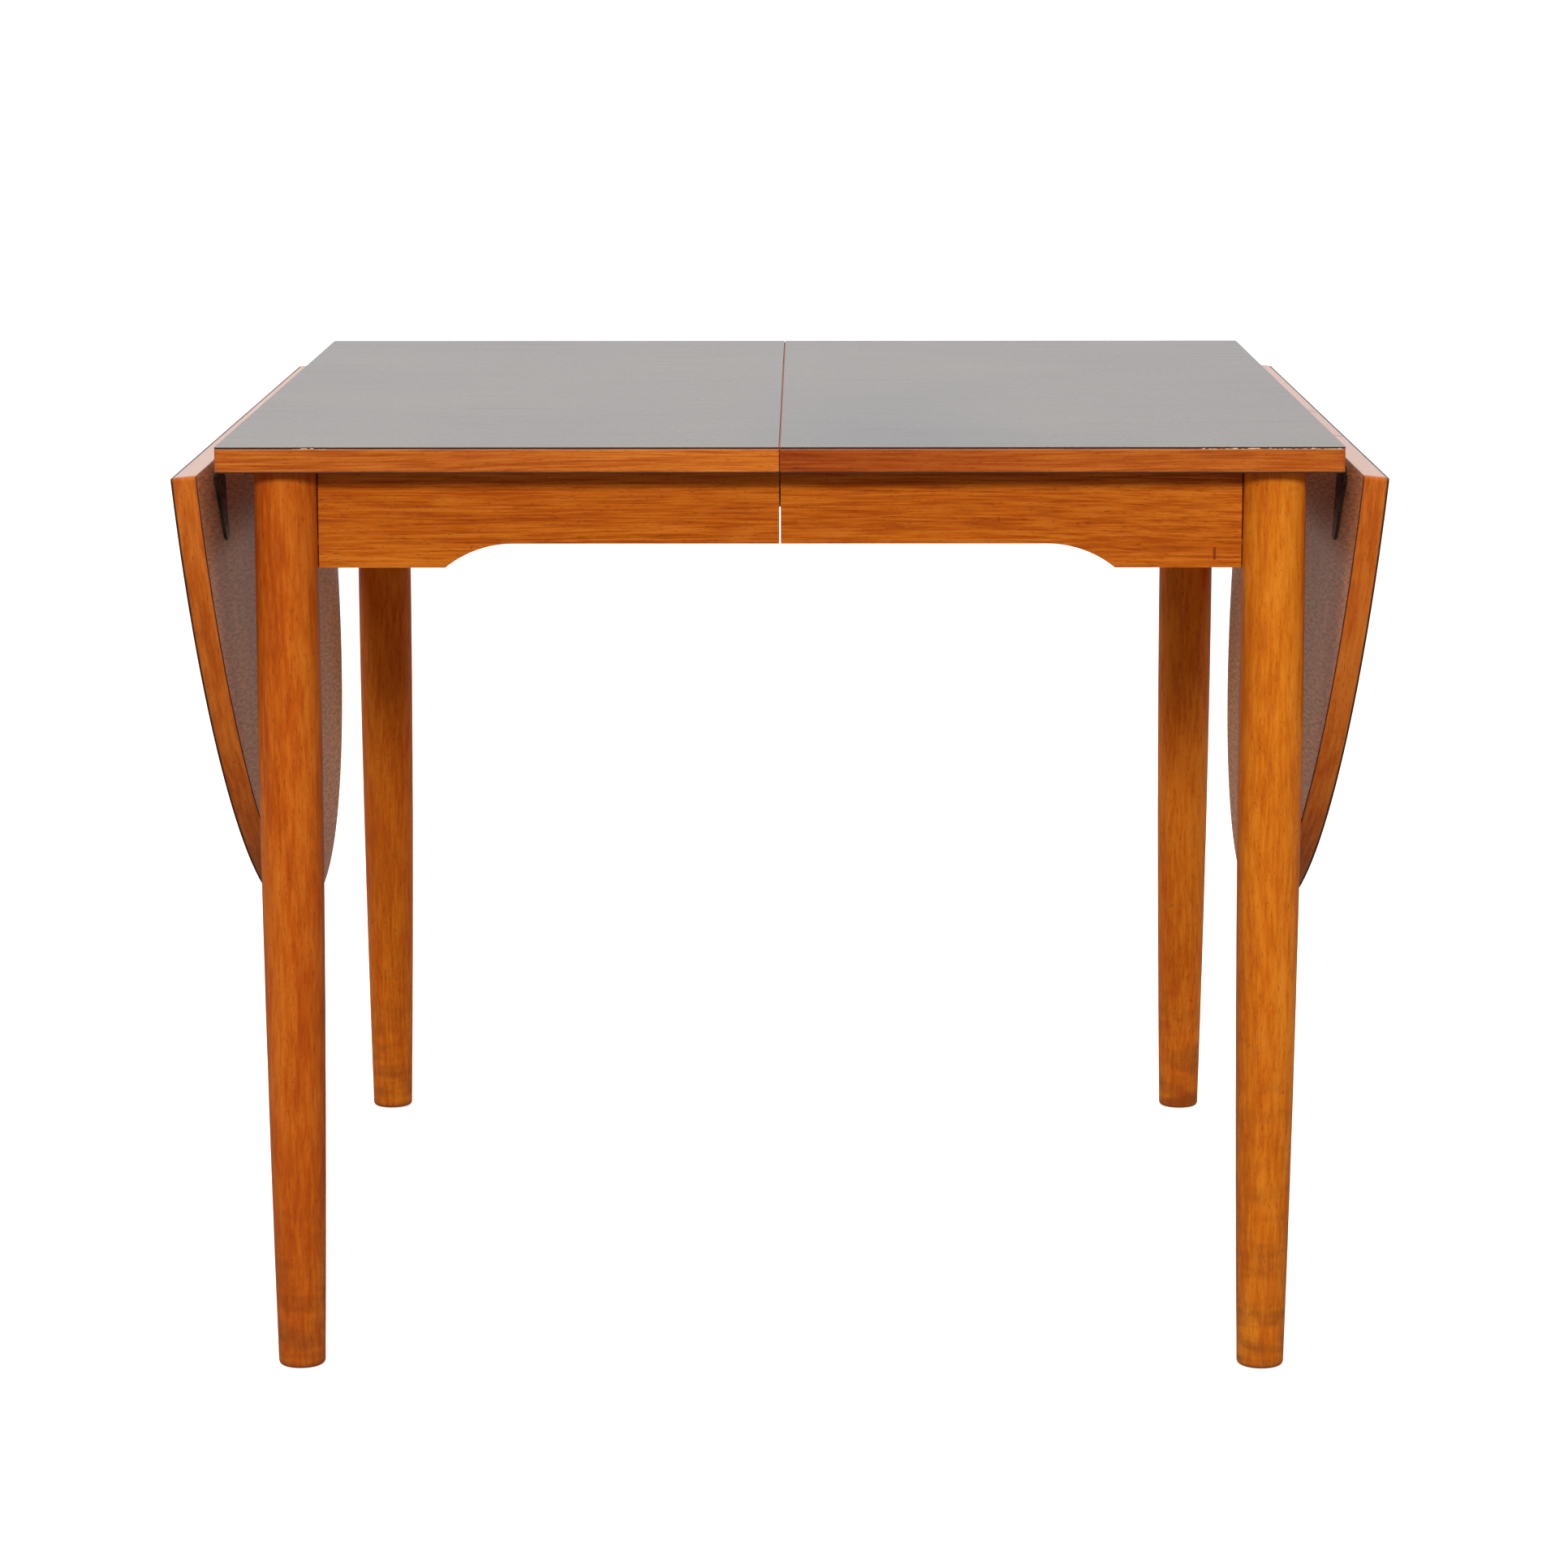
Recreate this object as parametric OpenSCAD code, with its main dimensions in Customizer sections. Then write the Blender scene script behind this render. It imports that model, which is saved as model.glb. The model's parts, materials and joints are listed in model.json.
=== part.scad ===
// Extending drop leaf table: two half tops on four turned legs, joined by sliding runners,
// with a rounded leaf hinged to each end. Both leaves hang down at rest.
// Origin: on the floor under the middle of the closed table. +X is the way it extends,
// -Y is the front and +Z is up. All sizes are in millimetres.

/* [Overall] */
// Height of the top surface above the floor
table_h = 740; // [700:5:780]
// Length of the closed top, between the two hinged ends
top_l = 864; // [840:2:1000]
// Width of the top, from front edge to rear edge
top_w = 950; // [900:5:1050]

/* [Boards] */
// Thickness of every board, with its laminate and backing
board_t = 20; // [18:0.5:24]
// Thickness of the grey laminate on top
laminate_t = 1.2; // [0.8:0.1:1.6]
// Thickness of the backing sheet underneath
backing_t = 0.8; // [0.5:0.1:1.2]
// Thickness of the solid wood edging round each board
edging_t = 8; // [6:0.5:12]
// Radius of the upright corners of the boards
corner_r = 3; // [1:0.5:5]
// Gap between the two half tops
seam_gap = 1; // [0.6:0.1:2]

/* [Leaves] */
// Length of a leaf, from its hinged edge to the middle of its curve
leaf_len = 420; // [380:1:440]
// Gap between a raised leaf and the top
leaf_gap = 0.6; // [0.4:0.1:1.5]
// Lean of a hanging leaf towards the legs, in degrees
leaf_lean = 5.6; // [4:0.1:7]

/* [Legs] */
// Diameter of a leg where it meets the top
leg_top_d = 48; // [46:0.2:50]
// Largest diameter of a leg
leg_d = 50; // [50:0.5:54]
// Diameter of a leg at the floor
foot_d = 37; // [30:0.5:42]
// Height above the floor where the taper starts
taper_h = 520; // [400:10:600]
// Distance from the end of the top to a leg's centre
leg_inset_x = 49; // [47:0.5:52]
// Distance from the front or rear edge of the top to a leg's centre
leg_inset_y = 48.5; // [47:0.5:52]

/* [Aprons] */
// Height of an apron beside the legs
apron_h = 79; // [72:1:90]
// Height of a long apron between its two arch shoulders
arch_h = 60.2; // [56:0.2:68]
// Thickness of the aprons
apron_t = 22; // [20:0.5:24]
// Distance from the edge of the top to the face of an apron
apron_setback = 48; // [47:0.5:52]
// Distance from the seam to a shoulder of the arch
shoulder_x = 260; // [220:0.5:280]
// Radius of the arch beside a shoulder
arch_r = 84; // [60:1:120]
// Gap between the two halves of a long apron
apron_gap = 1.3; // [0.8:0.1:2]

/* [Hinges] */
// Distance from the front or rear edge to the middle of a hinge
hinge_inset = 124; // [100:1:150]
// Length of a hinge barrel
barrel_l = 50; // [44:1:56]
// Radius of a hinge barrel
barrel_r = 5; // [4.8:0.1:5.2]
// Radius of a hinge pin
pin_r = 2; // [1.5:0.1:2.5]
// Thickness of the hinge plates
plate_t = 2.5; // [2.2:0.1:2.8]
// Length of a strap, from the hinged edge of the leaf to its tip
strap_l = 65; // [62:1:75]

/* [Extension] */
// Height of a runner
runner_h = 38; // [34:1:38]
// Thickness of a runner
runner_t = 22; // [18:1:22]
// Distance from the middle of the table to the runners' sliding faces
runner_y = 350; // [300:1:350]
// Length of a loper, the bar that holds up a raised leaf
loper_l = 290; // [250:5:320]
// Distance from the middle of the table to a loper's centre
loper_y = 160; // [120:5:200]
// How far a pushed-in loper stands out of the end apron
loper_grip = 20; // [10:1:22]

/* [Hidden] */

$fn = 72;
eps = 0.01;
over = 1;
LEFT = -1;
RIGHT = 1;
FRONT = -1;
REAR = 1;
teak = [0.72, 0.36, 0.12];
grey = [0.45, 0.45, 0.44];
chipboard = [0.76, 0.64, 0.46];
brown = [0.45, 0.36, 0.31];
beech = [0.82, 0.66, 0.45];
bronze = [0.22, 0.18, 0.15];
brass = [0.62, 0.5, 0.28];

// Heights
under_z = table_h - board_t;
core_z = under_z + backing_t;
core_t = board_t - laminate_t - backing_t;
mid_z = core_z + core_t / 2;

// Top
end_x = top_l / 2;
side_y = top_w / 2;
leg_x = end_x - leg_inset_x;
leg_y = side_y - leg_inset_y;

// Aprons
apron_y = side_y - apron_setback;
apron_x = end_x - apron_setback;
inner_x = apron_x - apron_t;
inner_y = apron_y - apron_t;
cope_r = leg_d / 2 + 0.1;
arch_rise = apron_h - arch_h;
flat_x = shoulder_x - sqrt(2 * arch_r * arch_rise - arch_rise * arch_rise);
block_near = 37;
block_far = 66;
block_h = 30;
block_z = under_z - 73;

// Dowels, pegs and feet. A dowel's far end is dowel_far from its leg's centre.
dowel_r = 4;
dowel_l = 30;
dowel_far = 38;
dowel_x_z = [under_z - 15, under_z - 60];
dowel_y_z = [under_z - 28, under_z - 48];
peg_l = 30;
peg_y = [-330, 0, 330];
peg_play = 0.1;
foot_round = 3;
foot_step = 22.5;
taper_from = 20;
taper_step = 25;
taper_power = 1.8;

// Hinge axis: it lets a leaf hang clear of the top, and brings it level when raised
pivot_x = end_x + 6.2;
pivot_z = under_z - 7.1;
hinge_y = side_y - hinge_inset;
knuckle_l = barrel_l / 2 - 0.4;
knuckle_gap = 0.4;
pin_play = 0.05;
plate_in = 31.7;
plate_relief = 0.3;
plate_holes = [[-25.2, -18], [-20.2, 0], [-25.2, 18]];
tip_r = 11;
shoulder_l = 8;
screw_r = 1.75;
head_r = 3.75;
head_h = 2;
screw_l = 14;
strap_hole_s = [20, 38, 54];

// Leaf: its curve is half an ellipse, centred on the hinged edge
joint_x = end_x + leaf_gap;
curve_step = 1.5;

// Runners and lopers
runner_gap = 1;
runner_drop = 1;
runner_play = 0.4;
runner_root_x = inner_x - 5;
runner_tip_x = inner_x - 13;
tongue_l = 5.1;
tongue_h = 9;
groove_l = 5.6;
tongue_z = under_z - 24;
loper_w = 30;
loper_h = 22;
loper_top = under_z - 0.4;
loper_play = 0.4;
loper_tip_x = apron_x + loper_grip;
guide_w = 60;
guide_l = 20;
guide_h = 35;
guide_x = [180, 330];

// Places children, drawn for the right half, on either half.
module on_side(side) {
    if (side == RIGHT) children();
    else mirror([1, 0, 0]) children();
}

// Places children, drawn for the front, at the front or the rear.
module on_edge(edge) {
    if (edge == FRONT) children();
    else mirror([0, 1, 0]) children();
}

// Draws children at the front and again at the rear.
module both_edges() {
    children();
    mirror([0, 1, 0]) children();
}

// A box between two opposite corners.
module block(low, high) {
    translate(low) cube(high - low);
}

// The waste outside a rounded corner whose tip is at the origin, with its sides along +X and +Y.
module corner_waste(r) {
    difference() {
        translate([-over, -over]) square(r + over);
        translate([r, r]) circle(r);
    }
}

// Turns a raised right-hand leaf about its hinge axis until it hangs.
module hang() {
    translate([pivot_x, 0, pivot_z])
        rotate([0, 90 + leaf_lean, 0])
            translate([-pivot_x, 0, -pivot_z])
                children();
}

// Outline of the right half top, seen from above.
module half_outline() {
    difference() {
        translate([seam_gap / 2, -side_y]) square([end_x - seam_gap / 2, top_w]);
        translate([end_x, -side_y]) mirror([1, 0]) corner_waste(corner_r);
        translate([end_x, side_y]) rotate(180) corner_waste(corner_r);
    }
}

// The raised right leaf seen from above, less a margin round its curve, from one x outwards.
module leaf_curve(margin, from_x) {
    a = leaf_len - margin;
    b = side_y - margin;
    arc = [for (t = [0 : curve_step : 180]) [joint_x + a * sin(t), -b * cos(t)]];
    intersection() {
        polygon(concat([[joint_x - over, -b]], arc, [[joint_x - over, b]]));
        translate([from_x, -top_w]) square([leaf_len + over, 2 * top_w]);
    }
}

// Outline of the raised right leaf, with its two corners eased.
module leaf_outline() {
    difference() {
        leaf_curve(0, joint_x);
        translate([joint_x, -side_y]) corner_waste(corner_r);
        translate([joint_x, side_y]) mirror([0, 1]) corner_waste(corner_r);
    }
}

// Holes for the screws of the two hinge plates, down from a height.
module plate_screw_holes(depth) {
    both_edges()
        for (p = plate_holes)
            translate([pivot_x + p[0], p[1] - hinge_y, under_z - eps])
                cylinder(h = depth + eps, r = screw_r, $fn = 24);
}

// Holes for the screws of the two hinge straps, in a raised leaf.
module strap_screw_holes(depth) {
    both_edges()
        for (s = strap_hole_s)
            translate([joint_x + s, -hinge_y, under_z - eps])
                cylinder(h = depth + eps, r = screw_r, $fn = 24);
}

// Holes or pegs along the seam, at the height of the core's middle.
module seam_rods(x, length, r) {
    for (y = peg_y)
        translate([x, y, mid_z])
            rotate([0, 90, 0])
                cylinder(h = length, r = r, $fn = 32);
}

// ---- Half tops ----

module top_core(side) {
    color(chipboard)
        on_side(side)
            difference() {
                block([seam_gap / 2 + edging_t, edging_t - side_y, core_z],
                      [end_x - edging_t, side_y - edging_t, core_z + core_t]);
                plate_screw_holes(backing_t + screw_l);
                seam_rods(0, peg_l / 2 + over, dowel_r + (side == LEFT ? peg_play : 0));
            }
}

module top_laminate(side) {
    color(grey)
        on_side(side)
            translate([0, 0, table_h - laminate_t])
                linear_extrude(laminate_t)
                    half_outline();
}

module top_backing(side) {
    color(brown)
        on_side(side)
            difference() {
                translate([0, 0, under_z]) linear_extrude(backing_t) half_outline();
                plate_screw_holes(backing_t + over);
            }
}

// The strip along the front or rear edge, mitred at the hinged end.
module long_edging(side, edge) {
    x = seam_gap / 2;
    color(teak)
        on_side(side)
            on_edge(edge)
                translate([0, 0, core_z])
                    linear_extrude(core_t)
                        intersection() {
                            half_outline();
                            polygon([[x, -side_y - over], [end_x + over, -side_y - over],
                                     [end_x - edging_t, edging_t - side_y],
                                     [x, edging_t - side_y]]);
                        }
}

// The strip along the hinged end, mitred at both corners.
module end_edging(side) {
    y = side_y - edging_t;
    color(teak)
        on_side(side)
            translate([0, 0, core_z])
                linear_extrude(core_t)
                    intersection() {
                        half_outline();
                        polygon([[end_x + over, -side_y - over],
                                 [end_x + over, side_y + over],
                                 [end_x - edging_t, y], [end_x - edging_t, -y]]);
                    }
}

// The strip along the seam, between the long strips.
module seam_edging(side) {
    color(teak)
        on_side(side)
            difference() {
                block([seam_gap / 2, edging_t - side_y, core_z],
                      [seam_gap / 2 + edging_t, side_y - edging_t, core_z + core_t]);
                seam_rods(0, peg_l, dowel_r + (side == LEFT ? peg_play : 0));
            }
}

// Wooden pegs in the right half's seam that line up the left half.
module seam_pegs() {
    color(beech)
        seam_rods(-peg_l / 2, peg_l, dowel_r);
}

// ---- Legs ----

function leg_r(z) = z > taper_h
    ? (leg_d - (leg_d - leg_top_d) * (z - taper_h) / (under_z - taper_h)) / 2
    : (leg_d - (leg_d - foot_d) * pow((taper_h - z) / taper_h, taper_power)) / 2;

// The dowels between a front right leg and its two aprons. They also cut their own holes.
module dowels() {
    for (z = dowel_x_z)
        translate([leg_x - dowel_far, apron_t / 2 - apron_y, z])
            rotate([0, 90, 0])
                cylinder(h = dowel_l, r = dowel_r, $fn = 32);
    for (z = dowel_y_z)
        translate([apron_x - apron_t / 2, dowel_far - dowel_l - leg_y, z])
            rotate([-90, 0, 0])
                cylinder(h = dowel_l, r = dowel_r, $fn = 32);
}

// A turned leg with a slight belly, tapering to a foot with an eased edge.
module leg(side, edge) {
    foot = [for (a = [0 : foot_step : 90])
        [leg_r(foot_round) - foot_round * (1 - sin(a)), foot_round * (1 - cos(a))]];
    taper = [for (z = [taper_from : taper_step : taper_h]) [leg_r(z), z]];
    color(teak)
        on_side(side)
            on_edge(edge)
                difference() {
                    translate([leg_x, -leg_y, 0])
                        rotate_extrude($fn = 96)
                            polygon(concat([[0, 0]], foot, taper,
                                           [[leg_r(under_z), under_z], [0, under_z]]));
                    dowels();
                }
}

// ---- Aprons ----

// Outline of the right half of a long apron, seen from the front, with z down from the top.
module arch_outline() {
    difference() {
        translate([apron_gap / 2, -apron_h]) square([leg_x - apron_gap / 2, apron_h]);
        translate([-over, -apron_h - over]) square([flat_x + over, arch_rise + over]);
        intersection() {
            translate([flat_x, -arch_h - arch_r]) circle(arch_r, $fn = 180);
            translate([flat_x - over, -apron_h - over])
                square([arch_r + 2 * over, arch_rise + 2 * over]);
        }
    }
}

module long_apron(side, edge) {
    color(teak)
        on_side(side)
            on_edge(edge)
                difference() {
                    translate([0, apron_t - apron_y, under_z])
                        rotate([90, 0, 0])
                            linear_extrude(apron_t)
                                arch_outline();
                    translate([leg_x, -leg_y, under_z - apron_h - over])
                        cylinder(h = apron_h + 2 * over, r = cope_r);
                    dowels();
                }
}

// The apron across a hinged end, between the long aprons, with a notch for each loper.
module end_apron(side) {
    color(teak)
        on_side(side)
            difference() {
                block([inner_x, -inner_y, under_z - apron_h], [apron_x, inner_y, under_z]);
                both_edges() {
                    translate([leg_x, -leg_y, under_z - apron_h - over])
                        cylinder(h = apron_h + 2 * over, r = cope_r);
                    dowels();
                    block([inner_x - over, -loper_y - loper_w / 2 - loper_play,
                           loper_top - loper_h - loper_play],
                          [apron_x + over, loper_w / 2 + loper_play - loper_y,
                           under_z + over]);
                }
            }
}

// Diagonal blocks behind the two legs of a half.
module corner_blocks(side) {
    color(beech)
        on_side(side)
            both_edges()
                translate([0, 0, block_z])
                    linear_extrude(block_h)
                        polygon([[inner_x, block_near - inner_y],
                                 [inner_x, block_far - inner_y],
                                 [inner_x - block_far, -inner_y],
                                 [inner_x - block_near, -inner_y]]);
}

module apron_dowels(side) {
    color(beech)
        on_side(side)
            both_edges()
                dowels();
}

// ---- Extension runners ----

// A bar fixed under one half that runs on below the other half, one millimetre clear of it.
module runner_bar(y_low) {
    z = under_z - runner_h;
    block([-runner_tip_x, y_low, z],
          [runner_root_x, y_low + runner_t, under_z - runner_drop]);
    block([seam_gap, y_low, z], [runner_root_x, y_low + runner_t, under_z]);
}

// The grooved outer runner, fixed to the left half.
module left_runner(edge) {
    groove_in = runner_y + runner_gap / 2;
    color(beech)
        on_edge(edge)
            mirror([1, 0, 0])
                difference() {
                    runner_bar(-groove_in - runner_t);
                    block([-runner_root_x - over, -groove_in - groove_l,
                           tongue_z - runner_play],
                          [runner_root_x + over, over - groove_in,
                           tongue_z + tongue_h + runner_play]);
                }
}

// The tongued inner runner, fixed to the right half.
module right_runner(edge) {
    face = runner_y - runner_gap / 2;
    color(beech)
        on_edge(edge) {
            runner_bar(-face);
            block([-runner_tip_x, -face - tongue_l, tongue_z],
                  [runner_root_x, -face, tongue_z + tongue_h]);
        }
}

// ---- Lopers ----

module loper(side, edge) {
    color(beech)
        on_side(side)
            on_edge(edge)
                block([loper_tip_x - loper_l, -loper_y - loper_w / 2, loper_top - loper_h],
                      [loper_tip_x, loper_w / 2 - loper_y, loper_top]);
}

// Four blocks with a slot that keep a half's lopers straight.
module loper_guides(side) {
    slot = loper_w / 2 + loper_play;
    color(beech)
        on_side(side)
            both_edges()
                for (x = guide_x)
                    difference() {
                        block([x, -loper_y - guide_w / 2, under_z - guide_h],
                              [x + guide_l, guide_w / 2 - loper_y, under_z]);
                        block([x - over, -loper_y - slot, loper_top - loper_h - loper_play],
                              [x + guide_l + over, slot - loper_y, under_z + over]);
                    }
}

// ---- Hinges ----

// Part of a hinge barrel, about the hinge axis, from one y to another.
module knuckle(y0, y1) {
    translate([pivot_x, y0, pivot_z])
        rotate([-90, 0, 0])
            cylinder(h = y1 - y0, r = barrel_r, $fn = 48);
}

module pin_rod(r, length) {
    translate([pivot_x, -length / 2, pivot_z])
        rotate([-90, 0, 0])
            cylinder(h = length, r = r, $fn = 32);
}

// A countersunk screw, head down, from the face of a hinge plate up into the wood.
module screw() {
    translate([0, 0, -plate_t]) cylinder(h = head_h, r1 = head_r, r2 = screw_r, $fn = 24);
    translate([0, 0, head_h - plate_t - eps])
        cylinder(h = screw_l + plate_t - head_h, r = screw_r, $fn = 24);
}

// One plate under the top, with the two outer knuckles of its hinge.
module hinge_plate() {
    half_l = barrel_l / 2;
    inner = knuckle_l / 2 + knuckle_gap;
    difference() {
        union() {
            block([pivot_x - plate_in, -half_l, under_z - plate_t],
                  [end_x, half_l, under_z]);
            block([end_x - over, -half_l, under_z - plate_t],
                  [pivot_x, half_l, under_z - plate_relief]);
            knuckle(-half_l, -inner);
            knuckle(inner, half_l);
            block([pivot_x - barrel_r, -half_l, pivot_z],
                  [pivot_x, half_l, under_z - plate_t / 2]);
        }
        block([pivot_x - barrel_r - knuckle_gap, -inner, pivot_z - barrel_r - over],
              [pivot_x + barrel_r + over, inner, under_z + over]);
        pin_rod(pin_r, barrel_l + 2 * over);
        for (p = plate_holes)
            translate([pivot_x + p[0], p[1], under_z])
                screw();
    }
}

// One strap under a leaf, with the middle knuckle of its hinge, in the raised position.
module hinge_strap() {
    half_l = barrel_l / 2;
    tip_x = joint_x + strap_l - tip_r;
    wide_x = pivot_x + barrel_r + knuckle_gap;
    difference() {
        union() {
            translate([0, 0, under_z - plate_t])
                linear_extrude(plate_t)
                    union() {
                        polygon([[wide_x, -half_l], [wide_x + shoulder_l, -half_l],
                                 [tip_x, -tip_r], [tip_x, tip_r],
                                 [wide_x + shoulder_l, half_l], [wide_x, half_l]]);
                        translate([tip_x, 0]) circle(tip_r, $fn = 48);
                    }
            block([pivot_x, -knuckle_l / 2, under_z - plate_t],
                  [wide_x + over, knuckle_l / 2, under_z]);
            block([pivot_x, -knuckle_l / 2, pivot_z],
                  [pivot_x + barrel_r, knuckle_l / 2, under_z - plate_t / 2]);
            knuckle(-knuckle_l / 2, knuckle_l / 2);
        }
        pin_rod(pin_r + pin_play, barrel_l + 2 * over);
        for (s = strap_hole_s)
            translate([joint_x + s, 0, under_z])
                screw();
    }
}

module hinge_plates(side) {
    color(bronze)
        on_side(side)
            both_edges()
                translate([0, -hinge_y, 0])
                    hinge_plate();
}

module hinge_pins(side) {
    color(bronze)
        on_side(side)
            both_edges()
                translate([0, -hinge_y, 0])
                    pin_rod(pin_r, barrel_l);
}

module plate_screws(side) {
    color(brass)
        on_side(side)
            both_edges()
                for (p = plate_holes)
                    translate([pivot_x + p[0], p[1] - hinge_y, under_z])
                        screw();
}

module hinge_straps(side) {
    color(bronze)
        on_side(side)
            hang()
                both_edges()
                    translate([0, -hinge_y, 0])
                        hinge_strap();
}

module strap_screws(side) {
    color(brass)
        on_side(side)
            hang()
                both_edges()
                    for (s = strap_hole_s)
                        translate([joint_x + s, -hinge_y, under_z])
                            screw();
}

// ---- Leaves ----

module leaf_core(side) {
    color(chipboard)
        on_side(side)
            hang()
                difference() {
                    translate([0, 0, core_z])
                        linear_extrude(core_t)
                            leaf_curve(edging_t, joint_x + edging_t);
                    strap_screw_holes(backing_t + screw_l);
                }
}

module leaf_laminate(side) {
    color(grey)
        on_side(side)
            hang()
                translate([0, 0, table_h - laminate_t])
                    linear_extrude(laminate_t)
                        leaf_outline();
}

module leaf_backing(side) {
    color(brown)
        on_side(side)
            hang()
                difference() {
                    translate([0, 0, under_z]) linear_extrude(backing_t) leaf_outline();
                    strap_screw_holes(backing_t + over);
                }
}

// The bent strip round the curve of a leaf.
module leaf_curved_edging(side) {
    color(teak)
        on_side(side)
            hang()
                translate([0, 0, core_z])
                    linear_extrude(core_t)
                        difference() {
                            leaf_outline();
                            leaf_curve(edging_t, joint_x - over);
                        }
}

// The straight strip along the hinged edge of a leaf.
module leaf_joint_edging(side) {
    color(teak)
        on_side(side)
            hang()
                translate([0, 0, core_z])
                    linear_extrude(core_t)
                        intersection() {
                            leaf_curve(edging_t, joint_x);
                            translate([0, -top_w]) square([joint_x + edging_t, 2 * top_w]);
                        }
}

top_core(LEFT);  // left_top_core
top_laminate(LEFT);  // left_laminate
top_backing(LEFT);  // left_backing
long_edging(LEFT, FRONT);  // left_front_edging
long_edging(LEFT, REAR);  // left_rear_edging
end_edging(LEFT);  // left_end_edging
seam_edging(LEFT);  // left_seam_edging
top_core(RIGHT);  // right_top_core
top_laminate(RIGHT);  // right_laminate
top_backing(RIGHT);  // right_backing
long_edging(RIGHT, FRONT);  // right_front_edging
long_edging(RIGHT, REAR);  // right_rear_edging
end_edging(RIGHT);  // right_end_edging
seam_edging(RIGHT);  // right_seam_edging
seam_pegs();
leg(LEFT, FRONT);  // front_left_leg
leg(LEFT, REAR);  // rear_left_leg
leg(RIGHT, FRONT);  // front_right_leg
leg(RIGHT, REAR);  // rear_right_leg
long_apron(LEFT, FRONT);  // front_left_apron
long_apron(LEFT, REAR);  // rear_left_apron
end_apron(LEFT);  // left_end_apron
corner_blocks(LEFT);  // left_corner_blocks
long_apron(RIGHT, FRONT);  // front_right_apron
long_apron(RIGHT, REAR);  // rear_right_apron
end_apron(RIGHT);  // right_end_apron
corner_blocks(RIGHT);  // right_corner_blocks
apron_dowels(LEFT);  // left_apron_dowels
apron_dowels(RIGHT);  // right_apron_dowels
left_runner(FRONT);  // left_front_runner
left_runner(REAR);  // left_rear_runner
right_runner(FRONT);  // right_front_runner
right_runner(REAR);  // right_rear_runner
loper_guides(LEFT);  // left_loper_guides
loper_guides(RIGHT);  // right_loper_guides
loper(LEFT, FRONT);  // front_left_loper
loper(LEFT, REAR);  // rear_left_loper
loper(RIGHT, FRONT);  // front_right_loper
loper(RIGHT, REAR);  // rear_right_loper
hinge_plates(LEFT);  // left_hinge_plates
hinge_pins(LEFT);  // left_hinge_pins
plate_screws(LEFT);  // left_plate_screws
hinge_plates(RIGHT);  // right_hinge_plates
hinge_pins(RIGHT);  // right_hinge_pins
plate_screws(RIGHT);  // right_plate_screws
leaf_core(LEFT);  // left_leaf_core
leaf_laminate(LEFT);  // left_leaf_laminate
leaf_backing(LEFT);  // left_leaf_backing
leaf_curved_edging(LEFT);  // left_leaf_curved_edging
leaf_joint_edging(LEFT);  // left_leaf_joint_edging
hinge_straps(LEFT);  // left_hinge_straps
strap_screws(LEFT);  // left_strap_screws
leaf_core(RIGHT);  // right_leaf_core
leaf_laminate(RIGHT);  // right_leaf_laminate
leaf_backing(RIGHT);  // right_leaf_backing
leaf_curved_edging(RIGHT);  // right_leaf_curved_edging
leaf_joint_edging(RIGHT);  // right_leaf_joint_edging
hinge_straps(RIGHT);  // right_hinge_straps
strap_screws(RIGHT);  // right_strap_screws
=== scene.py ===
"""Looks of the extending drop leaf table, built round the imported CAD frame.

Metres, +Z up, front at -Y. Pieces are drawn for the right half, front edge, leaf raised, and then
mirrored and hung. Every new piece rides the body of the CAD nodes that it stands for.
"""

import json
import math
import random

import bmesh
import bpy
from mathutils import Matrix, Vector


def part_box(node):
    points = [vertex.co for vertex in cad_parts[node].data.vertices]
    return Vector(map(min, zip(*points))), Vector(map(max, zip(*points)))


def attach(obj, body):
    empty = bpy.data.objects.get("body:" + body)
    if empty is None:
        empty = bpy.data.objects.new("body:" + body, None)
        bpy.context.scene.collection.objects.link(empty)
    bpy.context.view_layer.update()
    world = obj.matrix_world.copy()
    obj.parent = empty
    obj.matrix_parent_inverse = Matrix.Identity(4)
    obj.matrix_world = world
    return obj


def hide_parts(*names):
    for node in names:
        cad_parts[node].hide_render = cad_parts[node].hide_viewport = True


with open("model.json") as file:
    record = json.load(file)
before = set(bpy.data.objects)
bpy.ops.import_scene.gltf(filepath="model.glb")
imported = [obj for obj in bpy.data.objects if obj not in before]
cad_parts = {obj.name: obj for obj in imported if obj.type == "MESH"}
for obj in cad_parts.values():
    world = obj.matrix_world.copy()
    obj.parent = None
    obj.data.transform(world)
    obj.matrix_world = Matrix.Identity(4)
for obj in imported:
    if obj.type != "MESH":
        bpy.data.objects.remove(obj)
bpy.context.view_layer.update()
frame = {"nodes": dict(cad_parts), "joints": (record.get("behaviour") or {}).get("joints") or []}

LEFT, RIGHT = -1, 1
FRONT, REAR = -1, 1
SIDES = {LEFT: "left", RIGHT: "right"}
EDGES = {FRONT: "front", REAR: "rear"}
MM = 0.001


# ---- Sizes read from the frame ----

def joint(name):
    return next(j for j in frame["joints"] if j["name"] == name)


def hang_matrix():
    """From a raised right leaf to a hanging one: the hinge's whole swing about its pivot."""
    hinge = joint("right_leaf_hinge")
    pivot = Matrix.Translation(hinge["pos_m"])
    swing = Matrix.Rotation(math.radians(max(hinge["range_deg"])), 4, "Y")
    return pivot @ swing @ pivot.inverted()


HANG = hang_matrix()


def raised_points(node):
    """The vertices of a right leaf's CAD node, with the leaf raised."""
    back = HANG.inverted()
    return [back @ v.co for v in frame["nodes"][node].data.vertices]


def raised_box(node):
    points = raised_points(node)
    low = Vector(min(p[i] for p in points) for i in range(3))
    high = Vector(max(p[i] for p in points) for i in range(3))
    return low, high


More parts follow.
